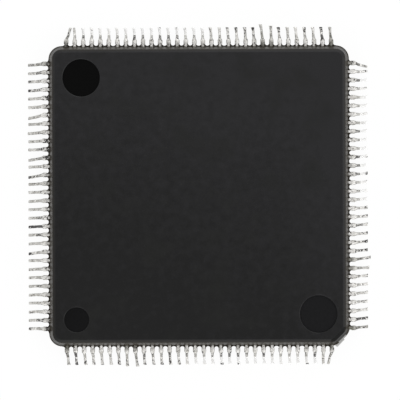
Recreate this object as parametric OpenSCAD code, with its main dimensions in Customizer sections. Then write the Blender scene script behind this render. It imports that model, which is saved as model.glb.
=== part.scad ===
// Integrated circuit in a square flat pack with gull-wing leads on four sides.
// Millimetres, +Z up. The origin is the middle of the package on its seating plane,
// the index mark stands at the front left, and leads count counter-clockwise from there.

/* [Body] */
// Side of the square body at its parting line
body_size = 14; // [13:0.1:16]
// Height of the body alone
body_height = 1.4; // [1.1:0.05:2]
// Clearance between the seating plane and the underside of the body
standoff = 0.1; // [0.05:0.01:0.3]
// Draft of the body's sides, in degrees from upright
draft_angle = 16; // [5:1:20]
// Radius of the three rounded corners of the top face
top_corner_radius = 0.29; // [0.1:0.01:0.5]
// Leg of the bevel on the gate corner at the parting line
gate_bevel = 0.65; // [0.4:0.05:0.9]
// Width of the bevel that runs round the top face
rim_width = 0.15; // [0.05:0.01:0.3]
// Drop of the bevel that runs round the top face
rim_drop = 0.08; // [0.03:0.01:0.2]

/* [Marks in the top face] */
// Diameter of the two ejector marks
ejector_d = 1.74; // [1:0.02:2.2]
// Distance from the body's sides to the rim of an ejector mark
ejector_land = 0.61; // [0.5:0.01:1.5]
// Depth of the ejector marks
ejector_depth = 0.07; // [0.02:0.01:0.15]
// Diameter of the index mark
index_d = 1.16; // [0.6:0.02:1.6]
// Distance from the body's sides to the rim of the index mark
index_land = 0.66; // [0.5:0.01:1.5]
// Depth of the index mark
index_depth = 0.05; // [0.02:0.01:0.15]
// Shift of all the marks to the right of the body's middle
mark_shift = 0.04; // [-0.1:0.01:0.1]

/* [Leads] */
// Distance from lead to lead
pitch = 0.4; // [0.3:0.01:0.8]
// Straight side between a corner and the middle of the first lead
row_margin = 0.15; // [0.1:0.01:0.6]
// Width of a lead outside the body
lead_width = 0.15; // [0.1:0.01:0.2]
// Thickness of the lead frame's sheet
lead_thickness = 0.14; // [0.09:0.01:0.2]
// Level run of a lead from the end of its neck to its upper bend
shoulder_run = 0.155; // [0.1:0.005:0.4]
// Slope of the leg between the bends, in degrees from level
leg_angle = 78; // [66:1:84]
// Degrees by which the legs of the left row slope less than the others
left_splay = 9; // [0:1:10]
// Level run of the foot from the lower bend to the toe
foot_run = 0.305; // [0.2:0.005:0.6]
// Radius on the inside of both bends
bend_inside = 0.06; // [0.03:0.01:0.1]

/* [Dam bar and flash] */
// Reach of the thin lip of flash that runs round the parting line
flash_lip = 0.03; // [0.01:0.005:0.05]
// Reach of the flash past that lip, half way between two leads
flash_web = 0.01; // [0.005:0.005:0.03]
// Reach of the flash past that web, along the necks of the leads
flash_fillet = 0.035; // [0.01:0.005:0.06]
// Step from the faces of a lead to the faces of the flash beside it
flash_step = 0.015; // [0.005:0.005:0.03]
// Bare run of a neck between the flash and the stub of the cut dam bar
neck_bare = 0.025; // [0.01:0.005:0.1]
// Width of the dam bar's stub on each side of a lead
stub_lug = 0.03; // [0.01:0.005:0.05]
// Run of the stub along the lead
stub_run = 0.2; // [0.1:0.01:0.25]
// Run of the slope from neck to stub
stub_rise = 0.025; // [0.01:0.005:0.05]
// Run of the slope from stub to leg
stub_fall = 0.06; // [0.02:0.01:0.1]

/* [Bends from use] */
// Sideways lean of the toes that all leads have, as a share of the gap between leads
common_lean = 0.13; // [0:0.01:0.2]
// Lean that differs from lead to lead, as a share of the gap between leads
lean_spread = 0.05; // [0:0.01:0.08]

/* [Lead frame inside the body] */
// Width of a lead at its inner tip
inner_width = 0.12; // [0.08:0.01:0.14]
// Gap between the die paddle and the inner tips
tip_gap = 0.4; // [0.2:0.05:0.8]
// Length beside each end of a row of inner tips that stays free for the tie bar
tip_land = 0.6; // [0.5:0.05:0.8]
// Straight run of a lead just inside the body's side
lock_run = 0.25; // [0.1:0.05:0.3]
// Rim of the die paddle around the die
paddle_margin = 0.5; // [0.2:0.05:0.8]
// Step of the die paddle below the plane of the leads
paddle_downset = 0.22; // [0.1:0.01:0.3]
// Width of a tie bar
tie_width = 0.25; // [0.15:0.01:0.35]
// Level run of a tie bar between the paddle's corner and its ramp
tie_lead_in = 0.1; // [0.05:0.01:0.3]
// Width of the tie bar's end at the gate corner
gate_tab_width = 0.48; // [0.3:0.01:0.55]
// Length of the tie bar's wide end inside the gate corner
gate_tab_run = 0.4; // [0.2:0.05:0.5]
// Stand-out of the cut tie bar at the gate corner
gate_stub = 0.07; // [0.02:0.01:0.15]

/* [Die and bond wires] */
// Side of the square die
die_size = 6.4; // [4:0.1:7.5]
// Thickness of the die
die_thickness = 0.3; // [0.15:0.01:0.4]
// Thickness of the adhesive film under the die
attach_thickness = 0.02; // [0.01:0.005:0.05]
// Width of a bond wire
wire_width = 0.025; // [0.018:0.001:0.05]
// Height of a wire's loop above the die
loop_height = 0.18; // [0.12:0.01:0.22]
// Level run of a wire's loop before it slopes down to the lead
loop_run = 0.3; // [0.2:0.02:0.5]
// Rim of the foot that bonds a wire to the die, past each side of the wire
ball_rim = 0.018; // [0.01:0.001:0.03]
// Height of the foot that bonds a wire to the die
ball_height = 0.02; // [0.01:0.005:0.04]
// Distance from the die's edge to the row of bonds
bond_inset = 0.12; // [0.08:0.01:0.3]
// Length beside each end of a row of bonds that stays free
bond_land = 0.35; // [0.2:0.05:1]
// Free end of a lead's inner tip, short of its wire
tip_free = 0.12; // [0.06:0.01:0.3]
// Length of wire that lies flat on the lead
stitch_run = 0.08; // [0.05:0.01:0.12]

/* [Hidden] */
SIDES = ["front", "right", "back", "left"];
BANKS = ["a", "b", "c", "d"];

front = 0;
right = 1;
back = 2;
left = 3;
quarter = 90;

body_half = body_size / 2;
half_height = (body_height - lead_thickness) / 2;
frame_bottom = standoff + half_height;
frame_top = frame_bottom + lead_thickness;
frame_mid = frame_bottom + lead_thickness / 2;
body_top = standoff + body_height;
rim_bottom = body_top - rim_drop;
under_inset = tan(draft_angle) * half_height;
rim_inset = tan(draft_angle) * (half_height - rim_drop);
top_inset = rim_inset + rim_width;
corner_radius = top_corner_radius + top_inset;
corner_steps = 8;
mark_faces = 64;
cut_over = 1;
// Overlap of the rooms that touching pieces leave in the body
room_overlap = 0.002;

// The row of leads fills the straight side between the corners
count_slack = 0.01;
row_land = max(corner_radius, gate_bevel) + row_margin;
leads_per_side = floor((body_size - 2 * row_land) / pitch + count_slack) + 1;
last_lead = leads_per_side - 1;
row_middle = last_lead / 2;
lead_gap = pitch - lead_width;

web_reach = flash_lip + flash_web;
flash_reach = web_reach + flash_fillet;
neck_end = body_half + flash_reach + neck_bare;
stub_start = neck_end + stub_rise;
stub_end = stub_start + stub_run;
leg_start = stub_end + stub_fall;
stub_width = lead_width + 2 * stub_lug;
bend_radius = bend_inside + lead_thickness / 2;
bend_steps = 4;

// Leads that use has bent: side, place in the row, lean of the toe as a share of the gap
// between leads, and degrees that the leg stands out
BENT_LEADS = [
    [front, 7, 0, 8],
    [front, 8, 0.32, 9],
    [front, last_lead, -0.6, 0],
    [right, 7, 0, 8],
    [right, 8, 0.34, 15],
    [right, last_lead, -0.6, 0],
    [back, 7, 0, 8],
    [back, 8, 0.32, 15],
    [back, last_lead, -0.72, 0],
    [left, 6, 0.56, 0],
    [left, 8, 0.22, 3],
    [left, 11, 0.44, 0],
    [left, 13, 0.48, 0],
    [left, 22, 0.42, 0]
];
// Turn between one lead's lean and the next one's, so that neighbours differ
lean_turn = 137.5;

paddle_size = die_size + 2 * paddle_margin;
paddle_top = frame_top - paddle_downset;
paddle_bottom = paddle_top - lead_thickness;
paddle_reach = paddle_size / sqrt(2);
die_bottom = paddle_top + attach_thickness;
die_top = die_bottom + die_thickness;
tip_place = paddle_size / 2 + tip_gap;
tip_pitch = 2 * (tip_place - tip_land) / last_lead;
kink_place = body_half - lock_run;
gate_face = body_half * sqrt(2) - gate_bevel / sqrt(2);
bond_place = die_size / 2 - bond_inset;
bond_pitch = (die_size - 2 * bond_land) / last_lead;
stitch_end = tip_place + tip_free + stitch_run;
ball_width = wire_width + 2 * ball_rim;

// Points of an arc about a centre
function arc(centre, radius, from, to, steps) = [
    for (i = [0 : steps])
        let (a = from + (to - from) * i / steps)
        centre + radius * [cos(a), sin(a)]
];

// Outline of the body, drawn in by an inset all round and let out by a stub at the gate corner
function body_outline(inset, stub = 0) =
    let (
        h = body_half - inset,
        c = body_half - corner_radius,
        r = corner_radius - inset,
        leg = gate_bevel - inset * (2 - sqrt(2)) - stub * sqrt(2)
    )
    concat(
        arc([c, c], r, 0, quarter, corner_steps),
        arc([-c, c], r, quarter, 2 * quarter, corner_steps),
        arc([-c, -c], r, 2 * quarter, 3 * quarter, corner_steps),
        [[h - leg, -h], [h, -h + leg]]
    );

// Solid through outlines of equal length, given as height and inset from the bottom up
module outline_stack(levels) {
    rings = [for (level = levels) [for (p = body_outline(level[1])) [p[0], p[1], level[0]]]];
    n = len(rings[0]);
    top = len(levels) - 1;
    floor_face = [for (i = [0 : n - 1]) i];
    roof_face = [for (i = [n - 1 : -1 : 0]) top * n + i];
    side_faces = [
        for (k = [0 : top - 1], i = [0 : n - 1])
            let (j = (i + 1) % n)
            [k * n + i, (k + 1) * n + i, (k + 1) * n + j, k * n + j]
    ];
    polyhedron(
        points = [for (ring = rings, p = ring) p],
        faces = concat([floor_face], side_faces, [roof_face])
    );
}

module body_form() {
    outline_stack([
        [standoff, under_inset],
        [frame_bottom, 0],
        [frame_top, 0],
        [rim_bottom, rim_inset],
        [body_top, top_inset]
    ]);
}

// Turns a side's own frame, with +X outward and +Y counter-clockwise, to its place
module on_side(side) {
    rotate([0, 0, quarter * (side - 1)]) children();
}

function row_offset(index) = index - row_middle;
function lead_place(index) = row_offset(index) * pitch;
function tip_offset(index) = row_offset(index) * tip_pitch;
function bond_offset(index) = row_offset(index) * bond_pitch;
function lead_number(side, index) = side * leads_per_side + index + 1;

// Lateral place of a lead inside the body, between its inner tip and its kink
function inner_offset(index, place) =
    let (share = (place - tip_place) / (kink_place - tip_place))
    tip_offset(index) + share * (lead_place(index) - tip_offset(index));

function bent_entry(side, index) = [for (b = BENT_LEADS) if (b[0] == side && b[1] == index) b];
function lean_share(side, index) =
    let (bent = bent_entry(side, index))
    len(bent) > 0 ? bent[0][2]
                  : common_lean + lean_spread * sin(lean_turn * lead_number(side, index));
function row_slope(side) = leg_angle - (side == left ? left_splay : 0);
function lead_slope(side, index) =
    let (bent = bent_entry(side, index))
    row_slope(side) - (len(bent) > 0 ? bent[0][3] : 0);

// Length of a leg from bend corner to bend corner, which sets a row's feet on the seating plane
function leg_length(side) = frame_bottom / sin(row_slope(side));

// Corners of a lead's middle line at its upper and lower bend, and the place of its toe
function bend_cut(slope) = bend_radius * tan(slope / 2);
function knee(slope) = [neck_end + shoulder_run + bend_cut(slope), frame_mid];
function heel(side, slope) = knee(slope) + leg_length(side) * [cos(slope), -sin(slope)];
function toe_place(side, slope) = heel(side, slope)[0] + bend_cut(slope) + foot_run;

// Strip along stations of place, middle and width
function strip(stations) = concat(
    [for (s = stations) [s[0], s[1] - s[2] / 2]],
    [for (i = [len(stations) - 1 : -1 : 0]) [stations[i][0], stations[i][1] + stations[i][2] / 2]]
);

// Stations of a lead from its inner tip to the end of its neck
function inner_stations(index) = [
    [tip_place, tip_offset(index), inner_width],
    [kink_place, lead_place(index), lead_width],
    [neck_end, lead_place(index), lead_width]
];

// Stations of a lead from the dam bar's stub to the toe
function outer_stations(side, index) =
    let (
        toe = toe_place(side, lead_slope(side, index)),
        lean = lead_gap * lean_share(side, index),
        share = stub_fall / (toe - stub_end),
        middle = lead_place(index)
    )
    [
        [stub_start, middle, stub_width],
        [stub_end, middle, stub_width],
        [leg_start, middle + lean * share, lead_width],
        [toe, middle + lean, lead_width]
    ];

// Side view of a lead: level shoulder, sloping leg and level foot, with round bends
function lead_profile(side, slope) =
    let (
        half = lead_thickness / 2,
        cut = bend_cut(slope),
        low = heel(side, slope),
        upper = knee(slope) + [-cut, -bend_radius],
        lower = low + [cut, bend_radius],
        toe = toe_place(side, slope)
    )
    concat(
        [[tip_place, frame_top]],
        arc(upper, bend_radius + half, quarter, quarter - slope, bend_steps),
        arc(lower, bend_radius - half, 3 * quarter - slope, 3 * quarter, bend_steps),
        [[toe, low[1] + half], [toe, low[1] - half]],
        arc(lower, bend_radius + half, 3 * quarter, 3 * quarter - slope, bend_steps),
        arc(upper, bend_radius - half, quarter - slope, quarter, bend_steps),
        [[tip_place, frame_bottom]]
    );

module lead(side, index) {
    intersection() {
        rotate([quarter, 0, 0])
            linear_extrude(body_size + cut_over, center = true)
            polygon(lead_profile(side, lead_slope(side, index)));
        translate([0, 0, -cut_over])
            linear_extrude(body_top + 2 * cut_over)
            polygon(strip(concat(inner_stations(index), outer_stations(side, index))));
    }
}

// Bank of neighbouring leads, one of four in a side's row
module lead_bank(side, bank) {
    first = floor(leads_per_side * bank / len(BANKS));
    next = floor(leads_per_side * (bank + 1) / len(BANKS));
    color("#c6c8c9")
        on_side(side)
        for (index = [first : next - 1])
            lead(side, index);
}

// Space that a lead takes up in the body and its flash
module lead_slot(index) {
    translate([0, 0, frame_bottom])
        linear_extrude(lead_thickness)
        polygon(strip(inner_stations(index)));
}

// Layer of flash at the height of the lead frame, from an outline
module flash_layer() {
    translate([0, 0, frame_bottom + flash_step])
        linear_extrude(lead_thickness - 2 * flash_step)
        children();
}

// Flash along one side: a fillet on each neck and a thin web between neighbours
module side_flash(side) {
    swing = 2 * atan(2 * flash_fillet / lead_gap);
    radius = lead_gap / 2 / sin(swing);
    middle = body_half + web_reach + radius;
    root = body_half - flash_reach;
    row_end = lead_place(last_lead) + pitch / 2 + lead_gap / 2;
    bays = [
        for (bay = [0 : leads_per_side])
            arc(
                [middle, lead_place(bay) - pitch / 2],
                radius,
                2 * quarter + swing,
                2 * quarter - swing,
                bend_steps
            )
    ];
    flash_layer()
        on_side(side)
        polygon(concat([[root, -row_end]], [for (bay = bays, p = bay) p], [[root, row_end]]));
}

// Lip of flash round the parting line
module parting_lip() {
    flash_layer() polygon(body_outline(-flash_lip));
}

module round_mark(place, diameter, depth) {
    translate([place[0] + mark_shift, place[1], body_top - depth])
        cylinder(d = diameter, h = depth + cut_over, $fn = mark_faces);
}

// Two ejector marks on one diagonal, and the index mark beside the first lead
module marks() {
    ejector = body_half - ejector_land - ejector_d / 2;
    index = body_half - index_land - index_d / 2;
    round_mark([-ejector, ejector], ejector_d, ejector_depth);
    round_mark([ejector, -ejector], ejector_d, ejector_depth);
    round_mark([-index, -index], index_d, index_depth);
}

// Moulded body with room for everything that it was moulded round
module mould_body() {
    color("#2a2a2b")
        difference() {
            union() {
                body_form();
                parting_lip();
                for (side = [front : left])
                    side_flash(side);
            }
            marks();
            for (side = [front : left]) {
                on_side(side)
                    for (index = [0 : last_lead])
                        lead_slot(index);
                bond_wires(side, room_overlap);
            }
            paddle_form();
            die_attach(room_overlap);
            silicon_die();
        }
}

// Tie bar along +X, from inside the paddle's corner up its ramp and out past the body's corner
module tie_bar() {
    root = paddle_reach - tie_width;
    ramp = paddle_reach + tie_lead_in;
    crest = ramp + paddle_downset;
    end = body_size;
    rotate([quarter, 0, 0])
        linear_extrude(tie_width, center = true)
        polygon([
            [root, paddle_bottom],
            [ramp, paddle_bottom],
            [crest, frame_bottom],
            [end, frame_bottom],
            [end, frame_top],
            [crest, frame_top],
            [ramp, paddle_top],
            [root, paddle_top]
        ]);
}

// Wide end of the tie bar at the gate corner, along +X
module gate_tab() {
    translate([gate_face - gate_tab_run, -gate_tab_width / 2, frame_bottom])
        cube([gate_tab_run + 2 * gate_stub, gate_tab_width, lead_thickness]);
}

// Square plate about the middle, as the paddle, the die and its adhesive are
module square_plate(size, bottom, thickness) {
    translate([-size / 2, -size / 2, bottom])
        cube([size, size, thickness]);
}

// Die paddle with its four tie bars, before they are cut
module paddle_form() {
    corner = quarter / 2;
    square_plate(paddle_size, paddle_bottom, lead_thickness);
    for (side = [front : left])
        rotate([0, 0, corner + quarter * side])
            tie_bar();
    rotate([0, 0, -corner])
        gate_tab();
}

// Die paddle with its tie bars cut flush with the body, except at the gate corner
module die_paddle() {
    color("#b98a62")
        intersection() {
            paddle_form();
            linear_extrude(body_top)
                polygon(body_outline(0, gate_stub));
        }
}

// Adhesive film, or with an overlap its room, which runs on into those of the paddle and the die
module die_attach(overlap = 0) {
    color("#a9a7a0")
        square_plate(die_size, paddle_top - overlap, attach_thickness + 2 * overlap);
}

module silicon_die() {
    color("#59616e") square_plate(die_size, die_bottom, die_thickness);
}

// Side view of a bond wire: foot on the die, level loop, slope, and stitch on the lead.
// An overlap carries both ends on into the die and the lead
function wire_profile(run, overlap) =
    let (
        half = wire_width / 2,
        ball = ball_width / 2,
        ball_top = die_top + ball_height,
        loop = die_top + loop_height,
        landing = run - stitch_run,
        fall = atan((loop - frame_top - wire_width) / (landing - loop_run)),
        mitre = wire_width * tan(fall / 2)
    )
    [
        [-ball, die_top - overlap],
        [ball, die_top - overlap],
        [ball, ball_top],
        [half, ball_top],
        [half, loop - wire_width],
        [loop_run - mitre, loop - wire_width],
        [landing - mitre + overlap / tan(fall), frame_top - overlap],
        [run, frame_top - overlap],
        [run, frame_top + wire_width],
        [landing, frame_top + wire_width],
        [loop_run, loop],
        [-half, loop],
        [-half, ball_top],
        [-ball, ball_top]
    ];

module bond_wire(index, overlap) {
    start = [bond_place, bond_offset(index)];
    end = [stitch_end, inner_offset(index, stitch_end)];
    way = end - start;
    translate(start)
        rotate([0, 0, atan2(way[1], way[0])])
        rotate([quarter, 0, 0])
        linear_extrude(wire_width, center = true)
        polygon(wire_profile(norm(way), overlap));
}

module bond_wires(side, overlap = 0) {
    color("#d9b44a")
        on_side(side)
        for (index = [0 : last_lead])
            bond_wire(index, overlap);
}

mould_body();
for (side = [front : left]) {
    for (bank = [0 : len(BANKS) - 1])
        lead_bank(side, bank);
    bond_wires(side);
}
die_paddle();
die_attach();
silicon_die();
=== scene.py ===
import math
import random
import bmesh
import bpy
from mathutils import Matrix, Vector, noise


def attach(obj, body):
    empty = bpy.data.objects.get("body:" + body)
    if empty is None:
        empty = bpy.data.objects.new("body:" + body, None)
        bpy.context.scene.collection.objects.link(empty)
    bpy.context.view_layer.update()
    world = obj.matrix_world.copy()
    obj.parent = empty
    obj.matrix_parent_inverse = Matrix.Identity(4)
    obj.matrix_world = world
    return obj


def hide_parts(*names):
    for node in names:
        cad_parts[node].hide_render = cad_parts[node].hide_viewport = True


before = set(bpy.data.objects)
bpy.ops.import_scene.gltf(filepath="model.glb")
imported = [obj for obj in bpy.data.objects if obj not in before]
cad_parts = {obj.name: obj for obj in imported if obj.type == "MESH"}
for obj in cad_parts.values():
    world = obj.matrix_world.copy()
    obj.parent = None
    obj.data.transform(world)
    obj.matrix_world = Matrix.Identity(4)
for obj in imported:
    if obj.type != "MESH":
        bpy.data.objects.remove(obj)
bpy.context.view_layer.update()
bpy.ops.object.select_all(action="DESELECT")
millimetre = 0.001
level = 0.9  # a face whose normal's upright part is beyond this lies level
lumpSeed = 3
noise.seed_set(lumpSeed)  # without it every run draws other lumps
print("frame loaded:", len(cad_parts), "solids")


# hand tools: pieces are modelled in millimetres and settled into the frame's metres at the end

def workOn(piece):
    bpy.ops.object.select_all(action="DESELECT")
    piece.select_set(True)
    bpy.context.view_layer.objects.active = piece


def startEdit(piece):
    workOn(piece)
    bpy.ops.object.mode_set(mode="EDIT")


def endEdit():
    bpy.ops.object.mode_set(mode="OBJECT")


def pick(piece, kind, test):  # selects the faces or edges of a piece in edit mode that pass a test
    bpy.ops.mesh.select_mode(type=kind)
    bpy.ops.mesh.select_all(action="DESELECT")
    shape = bmesh.from_edit_mesh(piece.data)
    shape.normal_update()
    parts = shape.faces if kind == "FACE" else shape.edges
    for part in parts:
        if test(part):
            part.select_set(True)
    shape.select_flush_mode()
    bmesh.update_edit_mesh(piece.data)


def applyModifier(piece, kind, **settings):
    workOn(piece)
    made = piece.modifiers.new(kind.lower(), kind)
    for key, value in settings.items():
        setattr(made, key, value)
    bpy.ops.object.modifier_apply(modifier=made.name)


def roundEdges(piece, settings):  # edges that turn by more than the sharp angle
    applyModifier(piece, "BEVEL", width=settings["edgeRound"], segments=settings["roundSteps"],
                  limit_method="ANGLE", angle_limit=math.radians(settings["sharp"]))


def fixNormals(piece):
    startEdit(piece)
    bpy.ops.mesh.select_all(action="SELECT")
    bpy.ops.mesh.normals_make_consistent(inside=False)
    endEdit()


def smoothBy(piece, degrees):
    workOn(piece)
    bpy.ops.object.shade_smooth_by_angle(angle=math.radians(degrees))


def copyOf(piece):  # a copy with its own mesh
    made = piece.copy()
    made.data = piece.data.copy()
    bpy.context.scene.collection.objects.link(made)
    return made


def joinAll(pieces):
    bpy.ops.object.select_all(action="DESELECT")
    for piece in pieces:
        piece.select_set(True)
    bpy.context.view_layer.objects.active = pieces[0]
    bpy.ops.object.join()
    return bpy.context.view_layer.objects.active


def discard(piece):
    mesh = piece.data
    bpy.data.objects.remove(piece)
    bpy.data.meshes.remove(mesh)


def settle(piece, name, finishes, nodes=()):  # into metres, onto its body, with its finishes
    workOn(piece)
    piece.scale = (millimetre, millimetre, millimetre)
    bpy.ops.object.transform_apply(location=True, rotation=True, scale=True)
    piece.name = name
    piece.data.name = name
    for finish in finishes:
        piece.data.materials.append(finish)
    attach(piece, "root")
    if nodes:
        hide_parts(*nodes)
    print("piece settled:", name, len(piece.data.polygons), "faces")


# material tools: every pattern reads Object coordinates, in millimetres
# settings: a noise is scale, detail, roughness; a band low, high, start, end; a grain strength, depth

noiseSpan = (0.3, 0.7)  # where most of a noise field's values lie
noiseMiddle = 0.5


def newFinish(name):
    finish = bpy.data.materials.new(name)
    finish.use_nodes = True
    nodes = finish.node_tree.nodes
    nodes.clear()
    out = nodes.new("ShaderNodeOutputMaterial")
    shader = nodes.new("ShaderNodeBsdfPrincipled")
    finish.node_tree.links.new(shader.outputs["BSDF"], out.inputs["Surface"])
    place = nodes.new("ShaderNodeTexCoord")
    scale = nodes.new("ShaderNodeVectorMath")
    scale.operation = "SCALE"
    scale.inputs["Scale"].default_value = 1 / millimetre
    finish.node_tree.links.new(place.outputs["Object"], scale.inputs[0])
    return finish, shader, scale.outputs[0]


def link(finish, start, end):
    finish.node_tree.links.new(start, end)


def noiseField(finish, place, perMillimetre, detail=3.0, rough=0.5):
    node = finish.node_tree.nodes.new("ShaderNodeTexNoise")
    node.inputs["Scale"].default_value = perMillimetre
    node.inputs["Detail"].default_value = detail
    node.inputs["Roughness"].default_value = rough
    link(finish, place, node.inputs["Vector"])
    return node.outputs["Fac"]


def band(finish, value, low, high, start=0.0, end=1.0):  # value between low and high becomes start to end
    node = finish.node_tree.nodes.new("ShaderNodeMapRange")
    node.interpolation_type = "SMOOTHSTEP"
    settings = {"From Min": low, "From Max": high, "To Min": start, "To Max": end}
    for key, number in settings.items():
        node.inputs[key].default_value = number
    link(finish, value, node.inputs["Value"])
    return node.outputs["Result"]


def sums(finish, operation, first, second):
    node = finish.node_tree.nodes.new("ShaderNodeMath")
    node.operation = operation
    for place, value in enumerate((first, second)):
        if isinstance(value, (int, float)):
            node.inputs[place].default_value = value
        else:
            link(finish, value, node.inputs[place])
    return node.outputs["Value"]


def blendColour(finish, factor, first, second):
    node = finish.node_tree.nodes.new("ShaderNodeMix")
    node.data_type = "RGBA"
    link(finish, factor, node.inputs["Factor"])
    for place, value in (("A", first), ("B", second)):
        socket = [s for s in node.inputs if s.name == place and s.type == "RGBA"][0]
        if isinstance(value, tuple):
            socket.default_value = (*value, 1.0)
        else:
            link(finish, value, socket)
    return [s for s in node.outputs if s.type == "RGBA"][0]


def grain(finish, shader, height, strength, distance):  # bump from a height field
    node = finish.node_tree.nodes.new("ShaderNodeBump")
    node.inputs["Strength"].default_value = strength
    node.inputs["Distance"].default_value = distance * millimetre
    link(finish, height, node.inputs["Height"])
    link(finish, node.outputs["Normal"], shader.inputs["Normal"])


def roughen(finish, shader, field, limits):  # roughness between two limits, after a noise field
    link(finish, band(finish, field, *noiseSpan, *limits), shader.inputs["Roughness"])


def axes(finish, place):
    node = finish.node_tree.nodes.new("ShaderNodeSeparateXYZ")
    link(finish, place, node.inputs[0])
    return node.outputs


def surfaceValue(finish, name):  # a number that each point of the piece carries
    node = finish.node_tree.nodes.new("ShaderNodeAttribute")
    node.attribute_name = name
    return node.outputs["Fac"]


# moulding resin: dark, matt, filled with fine silica

resin = {
    "dark": (0.0057, 0.0057, 0.0058), "pale": (0.0138, 0.0137, 0.0148), "olive": (0.0085, 0.0088, 0.008),
    "fleck": (0.04, 0.04, 0.042), "edgeDustAndSheen": (0.03, 0.0245, 0.016), "rough": (0.31, 0.43),
    "specular": {"moulded": 0.2, "broken": 0.06}, "paintedLightTurn": 0.3, "paintedLight": (-7.0, 9.0),
    "rightPaintedLight": (3.5, 7.0, 0.0, 0.3), "cloud": (0.28, 4.0), "swirl": 0.35, "blotch": (2.6, 3.0, 0.6),
    "blotched": 1.5, "tint": (0.644, 2.0), "tinted": (0.5, 0.7, 0.0, 0.5), "speck": (14.0, 2.0, 0.7),
    "flecked": (0.62, 0.8, 0.0, 0.35), "edgeDustAndSheenBand": (6.7, 6.95, 0.0, 0.75), "pit": (26.0, 2.0, 0.6),
    "pitGrain": (0.35, 0.006),
}


def resinFinish(name, specular):
    finish, shader, place = newFinish(name)
    along = axes(finish, place)
    # painted light: the face is painted paler towards the back and along the right side, where more light
    # falls
    across = sums(finish, "ADD", along[1], sums(finish, "MULTIPLY", along[0], resin["paintedLightTurn"]))
    paintedLight = band(finish, across, *resin["paintedLight"])  # paler towards the back, and along the right side
    paintedLight = sums(finish, "ADD", paintedLight, band(finish, along[0], *resin["rightPaintedLight"]))
    swirl = sums(finish, "SUBTRACT", noiseField(finish, place, *resin["cloud"]), noiseMiddle)
    cloudsAndPaintedLight = sums(finish, "ADD", paintedLight, sums(finish, "MULTIPLY", swirl, resin["swirl"]))
    blotch = sums(finish, "SUBTRACT", noiseField(finish, place, *resin["blotch"]), noiseMiddle)
    cloudsAndPaintedLight = sums(finish, "ADD", cloudsAndPaintedLight, sums(finish, "MULTIPLY", blotch, resin["blotched"]))
    tint = band(finish, noiseField(finish, place, *resin["tint"]), *resin["tinted"])
    specks = noiseField(finish, place, *resin["speck"])
    colour = blendColour(finish, cloudsAndPaintedLight, resin["dark"], resin["pale"])
    colour = blendColour(finish, tint, colour, resin["olive"])
    colour = blendColour(finish, band(finish, specks, *resin["flecked"]), colour, resin["fleck"])
    # dust and a painted sheen: the bevel and sides of the top edge are painted paler and warmer than the
    # face
    acrossX, acrossY = [sums(finish, "ABSOLUTE", along[axis], 0.0) for axis in (0, 1)]
    outward = sums(finish, "MAXIMUM", acrossX, acrossY)
    rim = band(finish, outward, *resin["edgeDustAndSheenBand"])
    colour = blendColour(finish, rim, colour, resin["edgeDustAndSheen"])
    link(finish, colour, shader.inputs["Base Color"])
    roughen(finish, shader, specks, resin["rough"])
    shader.inputs["Specular IOR Level"].default_value = specular
    grain(finish, shader, noiseField(finish, place, *resin["pit"]), *resin["pitGrain"])
    return finish


# floors of the round marks: smoother resin, with a painted reflection that makes them darker than the face
# and darkest towards the back left

mark = {"deep": (0.0014, 0.0014, 0.0014), "paintedReflection": (0.0098, 0.0098, 0.0104), "specular": 0.05,
        "span": 11.0, "speck": (9.0, 3.0, 0.6), "spotted": (0.3, 0.6, 0.85, 1.0), "rough": (0.3, 0.42),
        "grain": (0.1, 0.004)}


def markFinish():
    finish, shader, place = newFinish("polishedResin")
    along = axes(finish, place)
    # painted reflection of dark surroundings: the floors are painted darker towards the back left
    slope = sums(finish, "SUBTRACT", along[0], along[1])
    paintedReflection = band(finish, slope, -mark["span"], mark["span"])
    specks = noiseField(finish, place, *mark["speck"])
    paintedReflection = sums(finish, "MULTIPLY", paintedReflection, band(finish, specks, *mark["spotted"]))
    link(finish, blendColour(finish, paintedReflection, mark["deep"], mark["paintedReflection"]), shader.inputs["Base Color"])
    roughen(finish, shader, specks, mark["rough"])
    shader.inputs["Specular IOR Level"].default_value = mark["specular"]
    grain(finish, shader, specks, *mark["grain"])
    return finish


# thin resin flash along the parting line

flashLook = {"thin": (0.03, 0.026, 0.019), "brightResinAndSheen": (0.052, 0.045, 0.034), "specular": 0.2,
             "lump": (12.0, 3.0, 0.6), "rough": (0.5, 0.7), "grain": (0.4, 0.01)}


def flashFinish():
    finish, shader, place = newFinish("resinFlash")
    lumps = noiseField(finish, place, *flashLook["lump"])
    # painted sheen: the flash is painted far paler and warmer than the body's resin, a painted highlight on
    # its lip over the resin's own colour
    colour = blendColour(finish, lumps, flashLook["thin"], flashLook["brightResinAndSheen"])
    link(finish, colour, shader.inputs["Base Color"])
    roughen(finish, shader, lumps, flashLook["rough"])
    shader.inputs["Specular IOR Level"].default_value = flashLook["specular"]
    grain(finish, shader, lumps, *flashLook["grain"])
    return finish


# tin on the leads: pale and matt, with the tarnish and soil that each lead carries, painted shade on the
# legs and sides, and a painted white highlight on the feet

tin = {
    "bright": (0.985, 0.973, 0.952), "dull": (0.83, 0.815, 0.788), "warm": (0.52, 0.5, 0.475),
    "tarnishAndShade": (0.17, 0.166, 0.135), "paintedHighlight": (0.97, 0.97, 0.965), "soilAndShade": (0.05, 0.047, 0.046),
    "patch": (5.0, 3.0, 0.6), "speck": (11.0, 2.0, 0.6), "lump": (9.0, 3.0, 0.55), "rough": (0.5, 0.68),
    "dulled": (0.42, 0.72), "mottle": (0.52, 0.64, 0.0, 0.65), "bareSpots": (0.25, 0.6, 0.7, 1.0),
    "highlightGaps": (0.35, 0.65, 1.0, 0.85), "highlightMatt": 0.95, "speckle": 2.8, "soilAndShadeBand": (0.44, 0.6),
    "grain": (0.5, 0.02),
}


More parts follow.
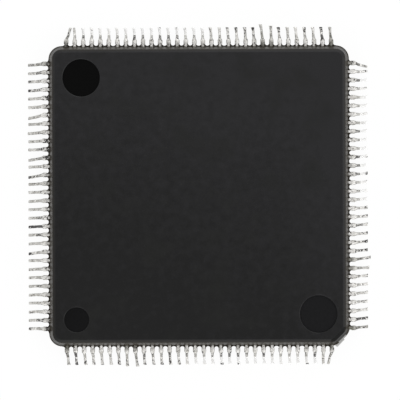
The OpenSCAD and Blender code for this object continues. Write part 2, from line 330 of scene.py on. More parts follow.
def tinFinish():
    finish, shader, place = newFinish("tinnedLead")
    patches = noiseField(finish, place, *tin["patch"])
    specks = noiseField(finish, place, *tin["speck"])
    colour = blendColour(finish, band(finish, patches, *tin["dulled"]), tin["bright"], tin["dull"])
    colour = blendColour(finish, band(finish, specks, *tin["mottle"]), colour, tin["warm"])
    bare = band(finish, patches, *tin["bareSpots"])
    # the tarnish attribute carries tarnish on the necks and painted shade on the legs and sides; the feet
    # are darkened as well
    tarnishAndShade = sums(finish, "MULTIPLY", surfaceValue(finish, "tarnishAndShade"), bare)
    colour = blendColour(finish, tarnishAndShade, colour, tin["tarnishAndShade"])
    # painted highlight: the crust attribute paints the feet a matt white where they mirror bright light
    gaps = band(finish, patches, *tin["highlightGaps"])
    paintedHighlight = sums(finish, "MULTIPLY", surfaceValue(finish, "paintedHighlight"), gaps)
    colour = blendColour(finish, paintedHighlight, colour, tin["paintedHighlight"])
    # the soil attribute carries dark specks of soil, with a painted shade on the legs
    speckle = sums(finish, "MULTIPLY", sums(finish, "SUBTRACT", specks, noiseMiddle), tin["speckle"])
    soilAndShade = band(finish, sums(finish, "ADD", surfaceValue(finish, "soilAndShade"), speckle), *tin["soilAndShadeBand"])
    colour = blendColour(finish, soilAndShade, colour, tin["soilAndShade"])
    link(finish, colour, shader.inputs["Base Color"])
    roughen(finish, shader, patches, tin["rough"])
    matt = sums(finish, "MAXIMUM", sums(finish, "MULTIPLY", paintedHighlight, tin["highlightMatt"]), soilAndShade)
    link(finish, sums(finish, "SUBTRACT", 1.0, matt), shader.inputs["Metallic"])
    grain(finish, shader, noiseField(finish, place, *tin["lump"]), *tin["grain"])
    return finish


# sheet of the lead frame: copper alloy inside, tinned where the cut bar shows at the gate corner

sheet = {"copper": (0.6, 0.36, 0.22), "darkCopper": (0.42, 0.22, 0.12), "silver": (0.56, 0.555, 0.54),
         "darkSilver": (0.45, 0.45, 0.44), "tinned": (9.2, 9.3), "speck": (11.0, 3.0, 0.6),
         "rough": (0.28, 0.5), "grain": (0.3, 0.01)}


def sheetFinish():
    finish, shader, place = newFinish("frameSheet")
    along = axes(finish, place)
    outward = sums(finish, "MULTIPLY", sums(finish, "SUBTRACT", along[0], along[1]), math.sqrt(0.5))
    specks = noiseField(finish, place, *sheet["speck"])
    silver = blendColour(finish, specks, sheet["silver"], sheet["darkSilver"])
    copper = blendColour(finish, specks, sheet["copper"], sheet["darkCopper"])
    edge = band(finish, outward, *sheet["tinned"])
    link(finish, blendColour(finish, edge, copper, silver), shader.inputs["Base Color"])
    roughen(finish, shader, specks, sheet["rough"])
    shader.inputs["Metallic"].default_value = 1.0
    grain(finish, shader, specks, *sheet["grain"])
    return finish


# pieces inside the body

adhesive = {"binder": (0.3, 0.29, 0.27), "silver": (0.62, 0.61, 0.58), "flake": (22.0, 2.0, 0.7),
            "flaked": (0.45, 0.6), "rough": (0.4, 0.65), "metal": 0.6}


def adhesiveFinish():
    finish, shader, place = newFinish("silverAdhesive")
    flakes = noiseField(finish, place, *adhesive["flake"])
    flaked = band(finish, flakes, *adhesive["flaked"])
    colour = blendColour(finish, flaked, adhesive["binder"], adhesive["silver"])
    link(finish, colour, shader.inputs["Base Color"])
    roughen(finish, shader, flakes, adhesive["rough"])
    shader.inputs["Metallic"].default_value = adhesive["metal"]
    return finish


silicon = {  # blocks of circuit, millimetres wide and high, with narrow lanes between them
    "blocks": {"Scale": 1.0, "Brick Width": 0.9, "Row Height": 0.5, "Mortar Size": 0.03,
               "Color1": (0.08, 0.1, 0.14, 1.0), "Color2": (0.12, 0.11, 0.16, 1.0),
               "Mortar": (0.03, 0.035, 0.05, 1.0)},
    "fine": (18.0, 2.0), "rough": (0.15, 0.3),
}


def siliconFinish():
    finish, shader, place = newFinish("silicon")
    node = finish.node_tree.nodes.new("ShaderNodeTexBrick")
    for key, value in silicon["blocks"].items():
        node.inputs[key].default_value = value
    link(finish, place, node.inputs["Vector"])
    link(finish, node.outputs["Color"], shader.inputs["Base Color"])
    roughen(finish, shader, noiseField(finish, place, *silicon["fine"]), silicon["rough"])
    return finish


goldWire = {"pale": (0.95, 0.68, 0.25), "deep": (0.8, 0.53, 0.16), "fine": (30.0, 2.0),
            "rough": (0.2, 0.35)}


def goldFinish():
    finish, shader, place = newFinish("bondGold")
    fine = noiseField(finish, place, *goldWire["fine"])
    colour = blendColour(finish, fine, goldWire["pale"], goldWire["deep"])
    link(finish, colour, shader.inputs["Base Color"])
    roughen(finish, shader, fine, goldWire["rough"])
    shader.inputs["Metallic"].default_value = 1.0
    return finish


rows = ("front", "right", "back", "left")
resinLook = resinFinish("mouldingResin", resin["specular"]["moulded"])
gateLook = resinFinish("brokenResin", resin["specular"]["broken"])
markLook = markFinish()
flashResin = flashFinish()
tinLook = tinFinish()
insideLooks = {"die_paddle": sheetFinish(), "die_attach": adhesiveFinish(), "silicon_die": siliconFinish()}
gold = goldFinish()
for name in rows:
    insideLooks["bond_wires_" + name] = gold
for node, look in insideLooks.items():
    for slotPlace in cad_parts[node].material_slots:
        slotPlace.material = look
print("finishes made")


# moulded body: a square slab whose corners are rounded, drawn in above and below the parting line

body = {  # a mark is x, y, width and depth; a step of its lip is how far it widens and rises
    "side": 14.0, "underside": 0.1, "bandLow": 0.73, "bandHigh": 0.87, "rim": 1.42, "top": 1.5,
    "corner": 0.598, "cornerSteps": 8, "gateLeg": 0.65, "gateSoft": 0.2, "gateSteps": 3, "gateNear": 1.1,
    "rimInset": 0.1577, "rimWidth": 0.15, "underInset": 0.1806, "edgeRound": 0.022, "roundSteps": 2,
    "smooth": 30, "sharp": 20,
    "marks": ((-5.48, 5.52, 1.74, 0.07), (5.56, -5.52, 1.74, 0.07), (-5.72, -5.76, 1.16, 0.05)),
    "markFaces": 64, "markFlare": 0.006, "lip": ((0.02, 0.017), (0.03, 0.008)), "markClear": 0.2,
    "floorBand": (-0.01, 0.012), "gateFrom": 12.8, "gateTilt": 0.4,
}


def roundedSlab(side, low, high, corner, gateLeg):  # square slab with three round corners and a cut one
    bpy.ops.mesh.primitive_cube_add(size=1.0, location=(0, 0, (low + high) / 2))
    slab = bpy.context.object
    slab.scale = (side, side, high - low)
    bpy.ops.object.transform_apply(location=True, rotation=True, scale=True)
    startEdit(slab)

    def upright(edge):
        first, second = (v.co for v in edge.verts)
        return abs(first.z - second.z) > (high - low) / 2

    def atGate(edge):  # the front right corner is the only one this far out on both axes
        return edge.verts[0].co.x - edge.verts[0].co.y > side - corner / 4

    def gateEnd(edge):  # the two upright edges that the cut leaves
        return edge.verts[0].co.x - edge.verts[0].co.y > side - body["gateNear"] * gateLeg

    pick(slab, "EDGE", lambda edge: upright(edge) and not atGate(edge))
    bpy.ops.mesh.bevel(offset=corner, segments=body["cornerSteps"], profile=0.5, affect="EDGES")
    pick(slab, "EDGE", lambda edge: upright(edge) and atGate(edge))
    bpy.ops.mesh.bevel(offset=gateLeg, segments=1, affect="EDGES")
    pick(slab, "EDGE", lambda edge: upright(edge) and gateEnd(edge))
    bpy.ops.mesh.bevel(offset=body["gateSoft"], segments=body["gateSteps"], profile=0.5, affect="EDGES")
    return slab


def markCutter(x, y, width, depth):  # steep wall below, and a worn lip that widens in two steps
    lipDepth = sum(rise for grow, rise in body["lip"])
    radius = width / 2 + body["markFlare"]
    bpy.ops.mesh.primitive_cone_add(
        vertices=body["markFaces"], radius1=width / 2, radius2=radius, depth=depth - lipDepth,
        location=(x, y, body["top"] - (depth + lipDepth) / 2))
    cutter = bpy.context.object
    startEdit(cutter)
    pick(cutter, "FACE", lambda face: face.normal.z > level)
    grow, rise = body["lip"][-1]
    past = 1 + body["markClear"] / rise  # the last step goes on past the top face
    for grow, rise in body["lip"][:-1] + ((grow * past, rise * past),):
        bpy.ops.mesh.extrude_region_move(TRANSFORM_OT_translate={"value": (0, 0, rise)})
        wider = (radius + grow) / radius
        bpy.ops.transform.resize(value=(wider, wider, 1.0), center_override=(x, y, body["top"]))
        radius += grow
    endEdit()
    return cutter


def modelBody():
    made = roundedSlab(body["side"], body["bandLow"], body["bandHigh"], body["corner"], body["gateLeg"])
    pick(made, "FACE", lambda face: face.normal.z > level)
    bpy.ops.mesh.inset(thickness=body["rimInset"], depth=body["rim"] - body["bandHigh"])
    bpy.ops.mesh.inset(thickness=body["rimWidth"], depth=body["top"] - body["rim"])
    pick(made, "FACE", lambda face: face.normal.z < -level)
    bpy.ops.mesh.inset(thickness=body["underInset"], depth=body["bandLow"] - body["underside"])
    endEdit()
    roundEdges(made, body)
    for place in body["marks"]:  # round marks sunk into the top face
        cutter = markCutter(*place)
        applyModifier(made, "BOOLEAN", operation="DIFFERENCE", solver="EXACT", object=cutter)
        discard(cutter)
    smoothBy(made, body["smooth"])
    applyModifier(made, "WEIGHTED_NORMAL", keep_sharp=True)
    return made


def inMark(face):  # floor of a round mark
    place = face.center
    below, above = body["floorBand"]
    for x, y, width, depth in body["marks"]:
        rise = place.z - (body["top"] - depth)
        if math.hypot(place.x - x, place.y - y) < width / 2 and below < rise < above:
            return True
    return False


def onGate(face):  # the face where the resin was broken off its gate, and the bevel above it
    place = face.center
    return place.x - place.y > body["gateFrom"] and face.normal.x - face.normal.y > body["gateTilt"]


mouldBody = modelBody()
for face in mouldBody.data.polygons:
    face.material_index = 1 if inMark(face) else 2 if onGate(face) else 0
settle(mouldBody, "mouldedBody", (resinLook, markLook, gateLook), ("mould_body",))


# flash along the parting line: a thin lip all round, and ragged webs between the necks

flash = {
    "reach": 0.03, "low": 0.745, "high": 0.855, "depth": 0.2, "web": 0.035, "fillet": 0.1, "hollow": 2.4,
    "gap": 0.25, "tuck": 0.03, "steps": 8, "edgeRound": 0.012, "ragged": 0.25, "lean": 1.2, "sunk": 0.02,
    "seed": 11, "bare": (("front", 32), ("right", 0)), "gateRest": 0.04,
    "cornerFrom": 6.6, "cornerTall": 1.36, "roundSteps": 2, "webSteps": 1, "smooth": 40, "sharp": 50,
}
row = {"pitch": 0.4, "leads": 32, "bank": 8, "half": 7.0}


def modelLip():
    grown = flash["reach"]  # the cut face stays parallel, a little further out
    leg = body["gateLeg"] + grown * (2 - math.sqrt(2)) - flash["gateRest"]
    lip = roundedSlab(body["side"] + 2 * grown, flash["low"], flash["high"], body["corner"] + grown, leg)
    pick(lip, "FACE", lambda face: abs(face.normal.z) > level)
    bpy.ops.mesh.inset(thickness=flash["depth"])
    bpy.ops.mesh.bridge_edge_loops()
    bpy.ops.mesh.select_all(action="SELECT")
    bpy.ops.mesh.normals_make_consistent(inside=False)
    endEdit()
    middle = (flash["low"] + flash["high"]) / 2
    for point in lip.data.vertices:  # taller at the corners, over the cut ends of the bars
        if min(abs(point.co.x), abs(point.co.y)) > flash["cornerFrom"]:
            point.co.z = middle + (point.co.z - middle) * flash["cornerTall"]
    roundEdges(lip, flash)
    return lip


def modelWeb(ending):  # one web, hollow between two necks, or running out at one end of a row
    bpy.ops.mesh.primitive_grid_add(x_subdivisions=1, y_subdivisions=flash["steps"], size=1.0)
    web = bpy.context.object
    startEdit(web)
    bpy.ops.mesh.select_all(action="SELECT")
    bpy.ops.mesh.extrude_region_move(TRANSFORM_OT_translate={"value": (0, 0, flash["high"] - flash["low"])})
    endEdit()
    half = flash["gap"] / 2
    for point in web.data.vertices:
        outer = point.co.x > 0
        share = point.co.y * 2
        point.co.y = share * (half + flash["tuck"])
        point.co.z += flash["low"]
        near = min(1.0, abs(share) * (half + flash["tuck"]) / half)
        reach = flash["web"] + flash["fillet"] * near ** flash["hollow"]
        if ending and share * ending < 0:
            reach = flash["web"] - (flash["web"] + flash["sunk"]) * near
        point.co.x = row["half"] + (reach if outer else -flash["depth"])
    fixNormals(web)
    roundEdges(web, {**flash, "roundSteps": flash["webSteps"]})
    return web


def turnToSide(piece, side):  # front, right, back and left rows are quarter turns of the right one
    quarterTurn = (side - 1) * math.pi / 2
    cosine, sine = round(math.cos(quarterTurn)), round(math.sin(quarterTurn))
    for point in piece.data.vertices:
        x, y = point.co.x, point.co.y
        point.co.x = cosine * x - sine * y
        point.co.y = sine * x + cosine * y


def layFlash():
    draws = random.Random(flash["seed"])
    kinds = {0: modelWeb(0), 1: modelWeb(1), -1: modelWeb(-1)}
    webs = [modelLip()]
    for side, name in enumerate(rows):
        for bay in range(row["leads"] + 1):
            made = copyOf(kinds[(bay == 0) - (bay == row["leads"])])
            grow = 1 + draws.uniform(-flash["ragged"], flash["ragged"])
            lean = draws.uniform(-flash["lean"], flash["lean"])
            if (name, bay) in flash["bare"]:
                discard(made)
                continue
            for point in made.data.vertices:
                if point.co.x > row["half"]:
                    point.co.x = row["half"] + (point.co.x - row["half"]) * (grow + lean * point.co.y)
                point.co.y += (bay - row["leads"] / 2) * row["pitch"]
            turnToSide(made, side)
            webs.append(made)
    for web in kinds.values():
        discard(web)
    made = joinAll(webs)
    smoothBy(made, flash["smooth"])
    return made


settle(layFlash(), "partingFlash", (flashResin,))


# cut end of the bar that carried the paddle, at the gate corner

stub = {"reach": (9.2, 9.575), "along": (-0.47, 0.04), "height": (0.745, 0.85), "cuts": 3,
        "edgeRound": 0.02, "roundSteps": 2, "lump": 0.02, "lumpRise": 0.5, "lumpScale": 6.0, "turn": -45,
        "smooth": 40, "sharp": 50}


def modelStub():
    sizes = [high - low for low, high in (stub["reach"], stub["along"], stub["height"])]
    middle = [(high + low) / 2 for low, high in (stub["reach"], stub["along"], stub["height"])]
    bpy.ops.mesh.primitive_cube_add(size=1.0)
    made = bpy.context.object
    made.scale = sizes
    made.location = middle
    bpy.ops.object.transform_apply(location=True, rotation=True, scale=True)
    startEdit(made)
    bpy.ops.mesh.select_all(action="SELECT")
    bpy.ops.mesh.subdivide(number_cuts=stub["cuts"])
    endEdit()
    roundEdges(made, stub)
    for point in made.data.vertices:
        rough = noise.noise_vector(point.co * stub["lumpScale"]) * stub["lump"]
        point.co += Vector((rough.x, rough.y, rough.z * stub["lumpRise"]))
    made.rotation_euler = (0.0, 0.0, math.radians(stub["turn"]))
    bpy.ops.object.transform_apply(location=True, rotation=True, scale=True)
    smoothBy(made, stub["smooth"])
    return made


settle(modelStub(), "gateStub", (insideLooks["die_paddle"],))


# leads: one is drawn for each slope of leg, then copied, leaned and roughened lead by lead

lead = {
    "tip": 4.1, "kink": 6.75, "neckEnd": 7.1, "stubStart": 7.125, "bendStart": 7.255, "stubEnd": 7.29,
    "legStart": 7.36, "middle": 0.8, "thickness": 0.14, "width": 0.15, "stubWidth": 0.21, "tipWidth": 0.12,
    "legWidth": {"left": 0.126, "others": 0.114}, "toeWidth": {"left": 0.126, "others": 0.158},
    "flare": 0.13, "hook": 0.5, "plainToes": (30, 31), "bend": 0.13, "bendSteps": 4, "slope": 78,
    "leftSplay": 9, "legSteps": 3, "footRun": 0.305, "footSteps": (0.35, 0.4), "chamfer": 0.03,
    "tipLand": 0.6, "commonLean": 0.13, "leanSpread": 0.05, "leanTurn": 137.5, "gap": 0.25,
    "toeRound": 0.02, "toeShrink": 0.7, "lump": 0.011, "lumpScale": 7.0, "lumpFrom": 0.2, "soleTop": 0.075,
    "shake": 9, "seed": 5, "ringPoints": 8, "smooth": 60,
}
bentLeads = {  # row and place in it: lean of the toe as a share of the gap, degrees that the leg stands out
    ("front", 7): (0, 8), ("front", 8): (0.32, 9), ("front", 31): (-0.6, 0),
    ("right", 7): (0, 8), ("right", 8): (0.34, 15), ("right", 31): (-0.6, 0),
    ("back", 7): (0, 8), ("back", 8): (0.32, 15), ("back", 31): (-0.72, 0),
    ("left", 6): (0.56, 0), ("left", 8): (0.22, 3), ("left", 11): (0.44, 0),
    ("left", 13): (0.48, 0), ("left", 22): (0.42, 0),
}
wearAndLight = {  # shares at stations along a lead, in millimetres from the body's face, and places in a row
    # stations for the bend and leg carry painted shade, the outline a painted shade on the sides, heel and
    # tip the painted highlight; the white feet, heels and toes pick the leads that carry it
    "neckAt": ((0.2, 1.0), (0.36, 0.0)), "legAt": ((0.24, 0.0), (0.32, 1.0), (1.0, 1.0), (1.1, 0.0)),
    "bendAt": ((0.12, 0.0), (0.2, 0.4), (0.28, 0.75), (0.34, 1.0), (0.45, 1.25), (0.9, 1.2), (1.02, 0.9),
               (1.12, 0.0)),
    "footAt": ((1.04, 0.0), (1.15, 1.0)), "toeAt": ((1.25, 0.0), (1.37, 0.75), (1.43, 1.0)),
    "heelAt": ((1.0, 0.0), (1.08, 1.0), (1.26, 1.0), (1.32, 0.0)), "tipAt": ((1.26, 0.0), (1.32, 1.0)),
    "sideShadeAt": ((0.12, 0.16), (0.25, 0.32)), "edgePoints": (0, 1, 4, 5), "spread": 0.8,
    "footSpread": 0.5, "whiteFeet": range(15, 30), "thinCrust": 0.6,
    "whiteHeels": (16, 18, 20, 21, 22, 23, 29), "whiteToes": (15, 19, 21, 22, 23, 24, 26, 27, 29),
    "clearedByHighlight": 0.45,
}
spreads = {  # what each lead's share of soil, tarnish, painted shade and painted highlight is drawn from
    "left": {"neck": (0.0, 0.3), "leg": (0.05, 0.3), "foot": (0.0, 0.2), "toe": (0.1, 0.4),
             "dull": (0.05, 0.3), "legPaintedShade": (0.38, 0.55), "footDarkening": (0.34, 0.5), "paintedHighlight": (0.0, 0.0)},
    "others": {"neck": (-0.15, 0.15), "leg": (0.15, 0.4), "foot": (0.15, 0.4), "toe": (0.05, 0.45),
               "dull": (0.0, 0.12), "legPaintedShade": (0.36, 0.52), "footDarkening": (0.08, 0.28), "paintedHighlight": (0.9, 1.0)},
}
soilAndShadeLeads = {  # place in the row: soil on the neck, soil and painted shade on the leg, and soil on the toe
    "left": {0: (0.5, 0.4, 0.5), 1: (0.35, 0.55, 0.6), 2: (0.1, 0.2, 0.55), 3: (0.1, 0.45, 1.0),
             4: (0.7, 0.2, 0.1), 9: (0.6, 0.2, 0.1), 10: (0.7, 0.55, 0.1), 11: (0.55, 0.4, 0.2),
             13: (0.5, 0.4, 0.75), 18: (0.3, 0.6, 0.2), 19: (0.1, 0.8, 0.9), 20: (0.1, 0.6, 0.2),
             22: (0.2, 0.3, 0.75), 26: (0.0, 0.55, 0.2), 30: (0.0, 0.6, 0.1), 31: (0.55, 0.1, 0.6)},
    "others": {0: (0.3, 0.4, 0.4), 1: (0.0, 0.85, 0.9), 3: (0.0, 0.3, 0.2), 5: (0.0, 0.3, 0.0),
               6: (0.0, 0.4, 0.65), 8: (0.3, 0.4, 0.5), 9: (0.0, 0.6, 0.6), 10: (0.0, 0.4, 0.7),
               11: (0.1, 0.3, 0.65), 12: (0.1, 0.5, 0.45), 13: (0.0, 0.3, 0.1), 14: (0.0, 0.3, 0.1),
               18: (0.1, 0.6, 1.1), 19: (0.1, 0.65, 0.1), 20: (0.1, 0.65, 0.75), 23: (0.1, 0.6, 0.1),
               28: (0.0, 0.3, 0.75), 29: (0.0, 0.6, 0.1), 31: (0.4, 0.5, 0.3)},
}
dullLeads = {  # place in the row: tarnish on the neck
    "left": {0: 0.7, 13: 0.5, 14: 0.5, 31: 0.65},
    "others": {0: 1.0, 7: 0.7, 8: 0.8, 18: 0.35, 19: 0.4, 20: 0.3, 31: 0.7},
}


def rowSlope(side):
    return lead["slope"] - (lead["leftSplay"] if rows[side] == "left" else 0)


def drawLead(slopeDegrees, legLength):  # straight lead of the right-hand row, from its inner tip to its toe
    slope = math.radians(slopeDegrees)
    cut = lead["bend"] * math.tan(slope / 2)
    bpy.ops.mesh.primitive_circle_add(vertices=lead["ringPoints"], radius=1.0, fill_type="NGON")
    made = bpy.context.object
    half, wide, soft = lead["thickness"] / 2, lead["width"] / 2, lead["chamfer"]
    corners = [(wide, -half + soft), (wide, half - soft), (wide - soft, half), (-wide + soft, half),
               (-wide, half - soft), (-wide, -half + soft), (-wide + soft, -half), (wide - soft, -half)]
    for point, (y, z) in zip(made.data.vertices, corners):
        point.co = (lead["tip"], y, lead["middle"] + z)
    startEdit(made)
    bpy.ops.mesh.select_all(action="SELECT")
    reached = [lead["tip"] - row["half"]]  # how far along the lead each ring is, from the body's face

    def onward(x, z=0.0):
        bpy.ops.mesh.extrude_region_move(TRANSFORM_OT_translate={"value": (x, 0, z)})
        reached.append(reached[-1] + math.hypot(x, z))

    def turn(centre, degrees):
        step = math.radians(degrees) / lead["bendSteps"]
        for each in range(lead["bendSteps"]):
            onward(0)
            reached[-1] += abs(step) * lead["bend"]
            bpy.ops.transform.rotate(value=step, orient_axis="Y", center_override=centre)

    onward(lead["kink"] - lead["tip"])
    onward(lead["neckEnd"] - lead["kink"])
    onward(lead["stubStart"] - lead["neckEnd"])
    onward(lead["bendStart"] - lead["stubStart"])
    turn((lead["bendStart"], 0, lead["middle"] - lead["bend"]), -slopeDegrees)
    run = (legLength - 2 * cut) / lead["legSteps"]
    for each in range(lead["legSteps"]):
        onward(run * math.cos(slope), -run * math.sin(slope))
    kneeX, kneeZ = lead["bendStart"] + cut, lead["middle"]
    heelX, heelZ = kneeX + legLength * math.cos(slope), kneeZ - legLength * math.sin(slope)
    turn((heelX + cut, 0, heelZ + lead["bend"]), slopeDegrees)
    for share in lead["footSteps"]:
        onward(lead["footRun"] * share)
    onward(lead["footRun"] * (1 - sum(lead["footSteps"])) - lead["toeRound"])
    onward(lead["toeRound"])
    shrink = lead["toeShrink"]
    bpy.ops.transform.resize(value=(1, shrink, shrink), center_override=(0, 0, heelZ))
    bpy.ops.mesh.select_all(action="SELECT")
    bpy.ops.mesh.normals_make_consistent(inside=False)
    endEdit()
    along = made.data.attributes.new("along", "FLOAT", "POINT")
    for point in made.data.vertices:
        along.data[point.index].value = reached[point.index // lead["ringPoints"]]
    return made


def between(value, stations):  # straight lines through (place, value) stations
    for (x0, y0), (x1, y1) in zip(stations, stations[1:]):
        if value <= x1:
            return y0 + (y1 - y0) * max(0.0, (value - x0) / (x1 - x0))
    return stations[-1][1]


def rowKind(name):  # the left row differs from the others in widths, wear, painted shade and painted highlight
    return name if name in spreads else "others"


def leadLines(side, index, toe):  # middle line and width of a lead, as stations along x
    name = rows[side]
    kind = rowKind(name)
    fromMiddle = index - (row["leads"] - 1) / 2
    spot = fromMiddle * row["pitch"]
    tipPitch = 2 * (lead["tip"] - lead["tipLand"]) / (row["leads"] - 1)
    turnedBy = math.radians(lead["leanTurn"] * (side * row["leads"] + index + 1))
    share = lead["commonLean"] + lead["leanSpread"] * math.sin(turnedBy)
    lean = lead["gap"] * bentLeads.get((name, index), (share, 0))[0]
    legWidth = lead["legWidth"][kind]
    toeWidth = legWidth if index in lead["plainToes"] else lead["toeWidth"][kind]
    flareStart, flareEnd = toe - lead["flare"], toe - lead["toeRound"]
    hook = lead["hook"] * (toeWidth - legWidth)  # a toe spreads to the side that its lead leans to
    leanedBy = lean * (flareStart - lead["stubEnd"]) / (toe - lead["stubEnd"])
    middles = [(lead["tip"], fromMiddle * tipPitch), (lead["kink"], spot), (lead["stubEnd"], spot),
               (flareStart, spot + leanedBy), (toe, spot + lean + hook)]
    widths = [(lead["tip"], lead["tipWidth"]), (lead["kink"], lead["width"]),
              (lead["neckEnd"], lead["width"]), (lead["stubStart"], lead["stubWidth"]),
              (lead["stubEnd"], lead["stubWidth"]), (lead["legStart"], legWidth), (flareStart, legWidth),
              (flareEnd, toeWidth), (toe, toeWidth)]
    return middles, widths


def drawWearAndLight(kind, index, draws):  # a lead's own shares of soil, tarnish, painted shade and painted highlight
    own = {key: draws.uniform(*spread) for key, spread in spreads[kind].items()}
    if index in soilAndShadeLeads[kind]:
        own["neck"], own["leg"], own["toe"] = soilAndShadeLeads[kind][index]
    own["dull"] = dullLeads[kind].get(index, own["dull"])
    own["foot"] = max(own["foot"], wearAndLight["spread"] * min(own["leg"], own["toe"]))
    own["legPaintedShade"] = max(own["legPaintedShade"], wearAndLight["spread"] * own["dull"])
    own["footDarkening"] = max(own["footDarkening"], wearAndLight["footSpread"] * own["dull"])
    # the chosen leads get a painted highlight on heel and toe
    highlighted = kind == "others" and index in wearAndLight["whiteFeet"]
    own["heelCrust"] = highlighted * (1.0 if index in wearAndLight["whiteHeels"] else wearAndLight["thinCrust"])
    own["tipCrust"] = highlighted * (1.0 if index in wearAndLight["whiteToes"] else wearAndLight["thinCrust"])
    return own


def wornAndLitAt(reach, own, onEdge):  # soil, tarnish, painted shade and painted highlight at one point of a lead
    onNeck, onFoot = between(reach, wearAndLight["neckAt"]), between(reach, wearAndLight["footAt"])
    # painted highlight on the heels and toes
    heelWhite = own["heelCrust"] * between(reach, wearAndLight["heelAt"])
    white = heelWhite + own["tipCrust"] * between(reach, wearAndLight["tipAt"])
    bare = 1 - white
    toeOutsideHighlight = bare if own["tipCrust"] == 1.0 else 1.0
    # soil, and on the legs a painted shade of the shaded floor they mirror
    soilAndShade = max(own["neck"] * onNeck, own["leg"] * between(reach, wearAndLight["legAt"]),
               own["toe"] * between(reach, wearAndLight["toeAt"]) * toeOutsideHighlight, own["foot"] * onFoot * bare)
    # tarnish on the necks, and a painted shade on the bends and legs
    tarnishAndShade = max(own["dull"] * onNeck, own["legPaintedShade"] * between(reach, wearAndLight["bendAt"]),
                  own["footDarkening"] * onFoot * bare)
    # painted shade along the sides of each lead, a dark outline
    if onEdge:
        tarnishAndShade += between(reach, wearAndLight["sideShadeAt"]) * bare
    soilAndShade -= wearAndLight["clearedByHighlight"] * white
    return {"soilAndShade": soilAndShade, "tarnishAndShade": min(1.0, tarnishAndShade), "paintedHighlight": own["paintedHighlight"] * white}


def placeLead(drawn, side, index, draws):  # a copy with its own bend, lumps, wear, painted shade and painted highlight
    made = copyOf(drawn)
    toe = max(point.co.x for point in made.data.vertices)
    middles, widths = leadLines(side, index, toe)
    own = drawWearAndLight(rowKind(rows[side]), index, draws)
    shake = Vector([draws.uniform(-lead["shake"], lead["shake"]) for axis in range(3)])
    for key in ("soilAndShade", "tarnishAndShade", "paintedHighlight"):
        made.data.attributes.new(key, "FLOAT", "POINT")
    marks = made.data.attributes  # read afresh, because a new attribute moves the earlier ones
    for point in made.data.vertices:
        x = point.co.x
        widen = between(x, widths) / lead["width"]
        rough = noise.noise_vector(point.co * lead["lumpScale"] + shake) * lead["lump"]
        rough *= min(1.0, max(0.0, x - lead["neckEnd"]) / lead["lumpFrom"])
        onSole = point.co.z < lead["soleTop"]
        if onSole or x > toe - lead["toeRound"] / 2:  # no lump goes past the part's box
            rough.x = 0.0
        if onSole:
            rough.z = max(0.0, rough.z)
        point.co.y = between(x, middles) + point.co.y * widen
        point.co += rough
        reach = marks["along"].data[point.index].value
        onEdge = point.index % lead["ringPoints"] in wearAndLight["edgePoints"]
        for key, value in wornAndLitAt(reach, own, onEdge).items():
            marks[key].data[point.index].value = value
    turnToSide(made, side)
    return made


def layLeads():
    draws = random.Random(lead["seed"])
    drawn = {}
    for side, name in enumerate(rows):
        for bank, letter in enumerate("abcd"):
            laid = []
            for index in range(bank * row["bank"], (bank + 1) * row["bank"]):
                splay = bentLeads.get((name, index), (0, 0))[1]
                legLength = body["bandLow"] / math.sin(math.radians(rowSlope(side)))
                key = (rowSlope(side) - splay, legLength)
                if key not in drawn:
                    drawn[key] = drawLead(*key)
                laid.append(placeLead(drawn[key], side, index, draws))
            made = joinAll(laid)
            smoothBy(made, lead["smooth"])
            node = "leads_" + name + "_" + letter
            settle(made, "leads." + name + "." + letter, (tinLook,), (node,))
    for made in drawn.values():
        discard(made)


layLeads()


# stage: pale floor, soft light from above, brighter towards the walls than overhead

stage = {"floor": 1.0, "floorColour": (0.96, 0.96, 0.96), "glow": 0.95, "wall": 1.32, "ceiling": 0.66,
         "horizon": 0.05}
lamps = (  # name, place, side and power
    ("rightSoftbox", (0.47, -0.17, 0.32), 0.4, 0.6), ("backSoftbox", (0.15, 0.45, 0.36), 0.4, 0.56),
    ("frontSoftbox", (-0.08, -0.45, 0.32), 0.4, 0.55),
)


def pictureRays(finish):  # 1 for rays that show the floor as a picture: camera, glossy and transmission
    path = finish.node_tree.nodes.new("ShaderNodeLightPath")
    total = path.outputs["Is Camera Ray"]
    for name in ("Is Glossy Ray", "Is Transmission Ray"):
        total = sums(finish, "MAXIMUM", total, path.outputs[name])
    return total


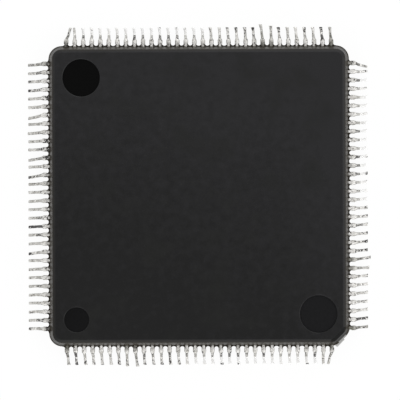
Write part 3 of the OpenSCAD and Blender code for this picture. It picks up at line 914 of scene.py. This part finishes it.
def layFloor():
    bpy.ops.object.select_all(action="DESELECT")
    bpy.ops.mesh.primitive_plane_add(size=stage["floor"], location=(0, 0, 0))
    floor = bpy.context.object
    floor.name = "floor"
    finish = bpy.data.materials.new("paleFloor")
    finish.use_nodes = True
    tree = finish.node_tree
    tree.nodes.clear()
    out = tree.nodes.new("ShaderNodeOutputMaterial")
    paper = tree.nodes.new("ShaderNodeBsdfDiffuse")
    paper.inputs["Color"].default_value = (*stage["floorColour"], 1.0)
    glow = tree.nodes.new("ShaderNodeEmission")
    glow.inputs["Color"].default_value = (1.0, 1.0, 1.0, 1.0)
    share = sums(finish, "MULTIPLY", pictureRays(finish), stage["glow"])
    mix = tree.nodes.new("ShaderNodeMixShader")
    tree.links.new(share, mix.inputs[0])
    tree.links.new(paper.outputs[0], mix.inputs[1])
    tree.links.new(glow.outputs[0], mix.inputs[2])
    tree.links.new(mix.outputs[0], out.inputs["Surface"])
    floor.data.materials.append(finish)


def lightRoom():
    world = bpy.data.worlds.new("studio")
    bpy.context.scene.world = world
    world.use_nodes = True
    tree = world.node_tree
    tree.nodes.clear()
    out = tree.nodes.new("ShaderNodeOutputWorld")
    sky = tree.nodes.new("ShaderNodeBackground")
    place = tree.nodes.new("ShaderNodeTexCoord")
    split = tree.nodes.new("ShaderNodeSeparateXYZ")
    tree.links.new(place.outputs["Generated"], split.inputs[0])
    fall = tree.nodes.new("ShaderNodeMapRange")
    settings = {"From Min": stage["horizon"], "From Max": 1.0, "To Min": stage["wall"],
                "To Max": stage["ceiling"]}
    for key, number in settings.items():
        fall.inputs[key].default_value = number
    tree.links.new(split.outputs["Z"], fall.inputs["Value"])
    tree.links.new(fall.outputs["Result"], sky.inputs["Color"])
    tree.links.new(sky.outputs[0], out.inputs["Surface"])
    for name, place, size, power in lamps:
        data = bpy.data.lights.new(name, "AREA")
        data.shape = "SQUARE"
        data.size = size
        data.energy = power
        lamp = bpy.data.objects.new(name, data)
        bpy.context.scene.collection.objects.link(lamp)
        lamp.location = place
        lamp.rotation_euler = (-Vector(place)).to_track_quat("-Z", "Y").to_euler()


layFloor()
lightRoom()
print("stage set")


# camera: straight above the part, with a long lens

camera = {"x": 0.044, "y": -0.192, "height": 163.87, "lens": 313.6, "roll": -0.17,
          "sensor": 36.0, "near": 0.001, "far": 5.0}
lens = bpy.data.cameras.new("camera")
lens.lens = camera["lens"]
lens.sensor_width = camera["sensor"]
lens.clip_start = camera["near"]
lens.clip_end = camera["far"]
eye = bpy.data.objects.new("camera", lens)
bpy.context.scene.collection.objects.link(eye)
eye.location = (camera["x"] * millimetre, camera["y"] * millimetre, camera["height"] * millimetre)
eye.rotation_euler = (0.0, 0.0, math.radians(camera["roll"]))
bpy.context.scene.camera = eye
bpy.context.scene.view_settings.view_transform = "Standard"
print("camera set")
